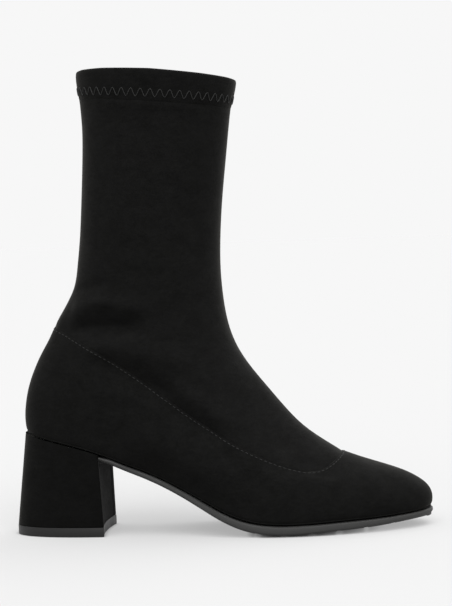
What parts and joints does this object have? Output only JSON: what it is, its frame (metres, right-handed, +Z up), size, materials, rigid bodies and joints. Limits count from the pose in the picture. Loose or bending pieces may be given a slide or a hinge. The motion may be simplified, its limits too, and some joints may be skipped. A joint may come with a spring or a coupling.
{
  "type": "stretch ankle boot",
  "caption": "Black suede-look sock boot for the right foot with a zigzag-stitched cuff, a stitched foot panel, a thin rubber sole and a covered block heel.",
  "frame": {"origin": "centre of the bounding box on the floor, under the waist of the foot", "axes": "+Z up from the floor to the collar, +X from the heel to the toe, +Y to the inner side of the foot"},
  "size_m": [0.2441, 0.0823, 0.2704],
  "materials": {
    "stretch_suede": "black stretch microsuede with a short soft nap",
    "panel_suede": "black microsuede, lasted smooth over the foot",
    "cuff_suede": "the same microsuede folded into a hem, with grey zigzag thread",
    "sock_lining": "black textile sock lining",
    "heel_cover": "black microsuede glued over the heel block",
    "toplift_rubber": "matt dark grey rubber",
    "sole_rubber": "matt dark grey rubber with a lightly shining edge"
  },
  "bodies": {
    "root": {"upper": "stretch_suede", "foot_panel": "panel_suede", "cuff": "cuff_suede", "insole": "sock_lining", "heel": "heel_cover", "toplift": "toplift_rubber", "outsole": "sole_rubber"}
  },
  "joints": []
}
